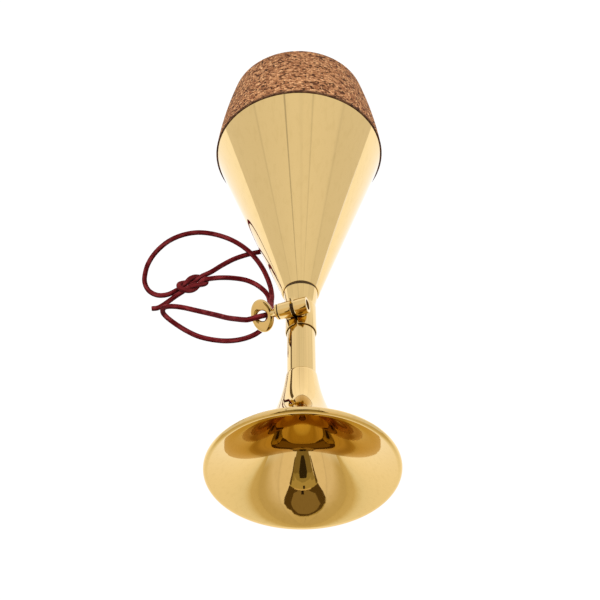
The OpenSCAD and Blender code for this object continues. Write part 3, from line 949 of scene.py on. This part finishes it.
def tent_point(side, rise, radius=TENT_R):
    """A point of the tent, by its angle from the front and its height in degrees."""
    b, e = math.radians(side), math.radians(rise)
    return TENT_MID + radius * Vector((math.sin(b) * math.cos(e), -math.cos(b) * math.cos(e), math.sin(e)))


def card(name, corners, color, strength, radius=TENT_R):
    """A flat-coloured patch of the tent that only mirrors see."""
    middle = np.array(corners, float).mean(axis=0)
    points = [tent_point(*middle, radius)]
    rim = []
    for (b0, e0), (b1, e1) in zip(corners, corners[1:] + corners[:1]):
        for t in np.linspace(0, 1, 6, endpoint=False):
            rim.append(tent_point(b0 + (b1 - b0) * t, e0 + (e1 - e0) * t, radius))
    points += rim
    faces = [(0, k + 1, (k + 1) % len(rim) + 1) for k in range(len(rim))]
    patch = add_mesh(name, points, faces, 180)
    material, n = new_material(name)
    glow = n.add("ShaderNodeEmission", {"Color": (*color, 1), "Strength": strength})
    n.add("ShaderNodeOutputMaterial", {0: glow.outputs[0]})
    patch.data.materials.append(material)
    patch.visible_camera = False
    patch.visible_diffuse = False
    patch.visible_shadow = False


def make_surroundings():
    """A white light tent: bright behind, warm and dimmer in front, with seams in its ceiling."""
    world = bpy.data.worlds.new("tent")
    world.use_nodes = True
    bpy.context.scene.world = world
    n = Nodes(world.node_tree)
    ray = n.add("ShaderNodeTexCoord").outputs["Generated"]
    x, y, z = n.add("ShaderNodeSeparateXYZ", {0: ray}).outputs
    rise = n.math("DIVIDE", n.math("DEGREES", n.math("ARCSINE", z)), 90.0)
    level = n.math("SQRT", n.math("ADD", n.math("MULTIPLY", x, x), n.math("MULTIPLY", y, y)))
    facing = n.math("DIVIDE", y, n.math("MAXIMUM", level, 0.001))
    # every colour below is kept under 1 and multiplied by this at the end
    gain = 1.2
    behind = ramp(n, rise, [
        (0.0, (0.92, 0.92, 0.95)), (0.16, (0.90, 0.90, 0.93)), (0.33, (0.79, 0.78, 0.80)),
        (0.46, (0.66, 0.65, 0.65)), (0.6, (0.67, 0.67, 0.67)), (0.85, (0.71, 0.71, 0.71)),
    ])
    beside = ramp(n, rise, [(0.0, (0.64, 0.64, 0.64)), (0.7, (0.69, 0.69, 0.69)), (0.85, (0.71, 0.71, 0.71))])
    before = ramp(n, rise, [
        (0.0, (0.46, 0.38, 0.20)), (0.06, (0.48, 0.40, 0.22)), (0.18, (0.65, 0.58, 0.46)),
        (0.55, (0.67, 0.60, 0.48)), (0.75, (0.69, 0.66, 0.60)), (0.9, (0.71, 0.71, 0.71)),
    ])
    light = n.mix(n.between(facing, 0.45, 0.9, 0.0, 1.0, True), beside, behind)
    light = n.mix(n.between(facing, -0.25, -0.55, 0.0, 1.0, True), light, before)
    across = n.math("DEGREES", n.math("ARCTAN2", x, z))
    shade = 1.0
    for seam, depth, half in ((-55, 0.88, 2.2), (-17, 0.6, 1.7), (3, 0.95, 4), (17, 0.84, 1.8), (55, 0.92, 4)):
        far = n.math("ABSOLUTE", n.math("SUBTRACT", across, seam))
        shade = n.math("MULTIPLY", shade, n.between(far, 0.2, half, depth, 1.0, True))
    panel = n.between(across, 17.0, 19.0, 1.01, 1.035, True)
    outer = n.between(n.math("ABSOLUTE", across), 55.0, 100.0, 0.975, 1.03)
    outer = n.mix(n.between(n.math("ABSOLUTE", across), 54.9, 55.0, 0.0, 1.0), panel, outer)
    shade = n.math("MULTIPLY", shade, outer)
    strength = n.math("MULTIPLY", shade, gain)
    sideways = n.between(n.math("ABSOLUTE", x), 0.4, 0.9, 0.0, 1.0, True)
    plain = n.mix(sideways, (0.13, 0.125, 0.12, 1), (2.15, 2.12, 2.08, 1))
    glow = n.add("ShaderNodeBackground", {"Color": for_soft_light(n, light, plain), "Strength": strength})
    n.add("ShaderNodeOutputWorld", {0: glow.outputs[0]})


def make_opening():
    """The tent's open front: a dim room in it, darker below, and the black lens in the middle."""
    card("front_opening", [
        (-24, 30), (-24, 20), (-22.5, 15), (-19, 11), (-14, 8), (-9, 6.3), (-3, 5.5), (2, 5.6), (6, 7), (8.5, 9.5),
        (12, 10), (16, 13), (18.5, 17), (19.5, 22), (20, 30),
        (22, 38), (26, 46), (-26, 46), (-24, 38),
    ], (0.42, 0.33, 0.12), 1.0)
    card("front_column", [
        (-25, 42), (23, 42), (25, 46), (31, 56), (34, 66), (28, 74), (-30, 74), (-36, 66), (-34, 56), (-27, 46),
    ], (0.21, 0.155, 0.05), 1.0, 2.42)
    card("front_middle", [(-23, 35), (21, 35), (25, 46), (-27, 46)], (0.30, 0.235, 0.08), 1.0, 2.44)
    card("front_frame_left", [(-25, 30), (-30, 42), (-38, 56), (-35, 56), (-26.5, 42), (-21, 30)],
         (0.12, 0.08, 0.02), 1.0, 2.4)
    card("front_frame_right", [(21, 30), (25, 42), (34, 56), (31, 56), (22, 42), (17.5, 30)],
         (0.12, 0.08, 0.02), 1.0, 2.4)
    card("front_dark", [
        (-24, 29), (-24, 20), (-22.3, 15), (-18.5, 11.3), (-13, 8.6), (-8, 7.2), (-3, 6), (2, 6.1), (6, 7.4),
        (8.5, 9.8), (12, 10.4), (16, 13.2), (18.5, 17.2), (19.3, 22), (20, 29),
    ], (0.085, 0.05, 0.012), 1.0, 2.38)
    card("front_table", [(-15, 13), (-10, 9.5), (-4, 7.5), (3, 8), (8, 12), (11, 17), (11, 25), (6, 28), (-8, 28), (-15, 23)],
         (0.235, 0.165, 0.06), 1.0, 2.3)
    card("front_ledge", [(-12, 28.5), (12, 28.5), (12, 29.8), (-12, 29.8)], (0.6, 0.45, 0.2), 1.0, 2.3)
    card("lens_cap", [(-3.5, 30), (-0.5, 30), (-0.5, 33), (-3.5, 33)], (0.02, 0.01, 0.004), 1.0, 2.2)
    card("lens_foot", [(-1.5, 25), (2, 25), (2, 28.6), (-1.5, 28.6)], (0.02, 0.01, 0.004), 1.0, 2.2)
    card("lens", [(-8, 40), (6, 40), (9, 46), (9, 57), (6, 63), (-8, 63), (-12, 57), (-12, 46)],
         (0.03, 0.02, 0.008), 1.0, 2.3)


def make_reflectors():
    """A low bright card right of the mute, and a dark gap under the tent's wall on its left."""
    right = 0.255
    corners = [(0.03, 0), (0.16, 0), (0.07, 0.024), (0.03, 0.034)]
    reflector = add_mesh("right_card", [(right, y, z) for y, z in corners], [range(len(corners))])
    material, n = new_material("right_card")
    glow = n.add("ShaderNodeEmission", {"Color": (0.665, 0.72, 1.0, 1), "Strength": 1.6})
    n.add("ShaderNodeOutputMaterial", {0: glow.outputs[0]})
    reflector.data.materials.append(material)
    reflector.visible_camera = False
    reflector.visible_diffuse = False
    reflector.visible_shadow = False
    card("left_gap", [(-165, -12), (-150, -12), (-125, -11), (-125, 8), (-150, 7), (-165, 4)], (0.12, 0.09, 0.05), 1.0)


def area_light(name, place, target, size, power):
    data = bpy.data.lights.new(name, "AREA")
    data.shape, data.size, data.energy = "DISK", size, power
    lamp = bpy.data.objects.new(name, data)
    lamp.location = place
    lamp.rotation_euler = (Vector(target) - Vector(place)).to_track_quat("-Z", "Y").to_euler()
    lamp.visible_glossy = False
    bpy.context.scene.collection.objects.link(lamp)


def make_lights():
    """One soft lamp high in front, for the shape of what isn't metal."""
    area_light("high_front", (-0.03, -0.5, 0.9), (0, 0.03, 0.02), 0.3, 10.2)
    bpy.context.scene.view_settings.view_transform = "Standard"


make_camera()
make_cord()
make_bell()
make_tube()
make_sleeve()
make_lugs()
make_screw()
make_cone()
make_seam_shade()
make_rear()
make_cork()
make_floor()
make_surroundings()
make_opening()
make_reflectors()
make_lights()
